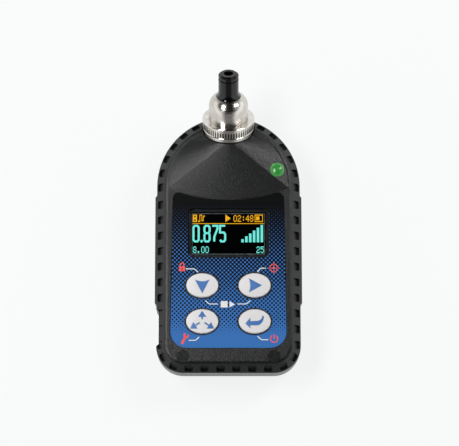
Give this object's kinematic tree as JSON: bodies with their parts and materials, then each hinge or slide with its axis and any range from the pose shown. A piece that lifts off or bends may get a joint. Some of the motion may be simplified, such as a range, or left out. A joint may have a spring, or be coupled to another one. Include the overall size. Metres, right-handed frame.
{
  "type": "vibration meter",
  "caption": "Pocket vibration meter: black arched case with a notched edge, blue keypad panel, colour display, white oval keys, green lamp and a screwed sensor plug.",
  "frame": {"origin": "middle of the flat back, on the plane that the meter lies on", "axes": "+Z out of the display, +Y along the case towards the sensor plug, +X to the right of the display"},
  "size_m": [0.0494, 0.1003, 0.0345],
  "materials": {
    "shell": "fine leather-like texture, satin black",
    "rail": "smooth glossy black",
    "cover": "smooth satin black",
    "seal": "matt",
    "screw_steel": "bright zinc",
    "brass": "turned",
    "foil": "printed polyester foil, black to blue in fine dots",
    "window": "clear, smooth",
    "screen": "black glass with lit orange and cyan signs",
    "ribbon": "amber foil",
    "board": "green solder mask",
    "snap_steel": "bright",
    "key": "smooth off-white with printed blue signs",
    "lamp": "green lens, frosted",
    "lamp_body": "pale",
    "chip": "moulded",
    "cell": "foil pouch",
    "contact": "gold plated",
    "nickel": "nickel plate, satin",
    "insulator": "moulded",
    "boot": "glossy black"
  },
  "bodies": {
    "case": {"front_shell": "shell", "rear_shell": "shell", "case_gasket": "seal", "case_screws": "screw_steel", "band_inserts": "brass", "side_rail_left": "rail", "side_rail_right": "rail", "corner_plugs": "cover", "panel_overlay": "foil", "display_window": "window", "display_gasket": "seal", "display_module": "screen", "display_flex": "ribbon", "key_board": "board", "key_domes": "snap_steel", "led_lens": "lamp", "status_led": "lamp_body", "main_board": "board", "board_spacers": "brass", "board_screws": "screw_steel", "main_chips": "chip", "board_link": "chip", "battery_cell": "cell", "battery_pad": "seal", "battery_contacts": "contact", "usb_socket": "snap_steel", "port_pin": "screw_steel", "socket_shell": "nickel", "socket_insulator": "insulator", "socket_contacts": "contact", "socket_seal": "seal", "socket_nut": "nickel", "socket_board": "board", "socket_flex": "ribbon"},
    "key_down": {"key_down": "key"},
    "key_right": {"key_right": "key"},
    "key_axis": {"key_axis": "key"},
    "key_enter": {"key_enter": "key"},
    "cover": {"port_cover": "cover"},
    "plug": {"plug_body": "nickel", "plug_insulator": "insulator", "plug_pins": "contact", "cable_boot": "boot"},
    "ring": {"coupling_ring": "nickel"}
  },
  "joints": [
    {"name": "key_down_press", "type": "slide", "parent": "case", "child": "key_down", "axis": [0, 0, -1], "range_m": [0, 0.0005], "stiffness_N_per_m": 400, "springref_m": -0.0005},
    {"name": "key_right_press", "type": "slide", "parent": "case", "child": "key_right", "axis": [0, 0, -1], "range_m": [0, 0.0005], "stiffness_N_per_m": 400, "springref_m": -0.0005},
    {"name": "key_axis_press", "type": "slide", "parent": "case", "child": "key_axis", "axis": [0, 0, -1], "range_m": [0, 0.0005], "stiffness_N_per_m": 400, "springref_m": -0.0005},
    {"name": "key_enter_press", "type": "slide", "parent": "case", "child": "key_enter", "axis": [0, 0, -1], "range_m": [0, 0.0005], "stiffness_N_per_m": 400, "springref_m": -0.0005},
    {"name": "cover_swing", "type": "hinge", "parent": "case", "child": "cover", "pos_m": [-0.02235, -0.0331, 0], "axis": [0, 0, 1], "range_deg": [0, 90]},
    {"name": "plug_pull", "type": "slide", "parent": "case", "child": "plug", "axis": [0, 0.7071, 0.7071], "range_m": [0, 0.014]},
    {"name": "ring_turn", "type": "hinge", "parent": "plug", "child": "ring", "pos_m": [0, 0.0389, 0.0168], "axis": [0, 0.7071, 0.7071], "continuous": true}
  ]
}
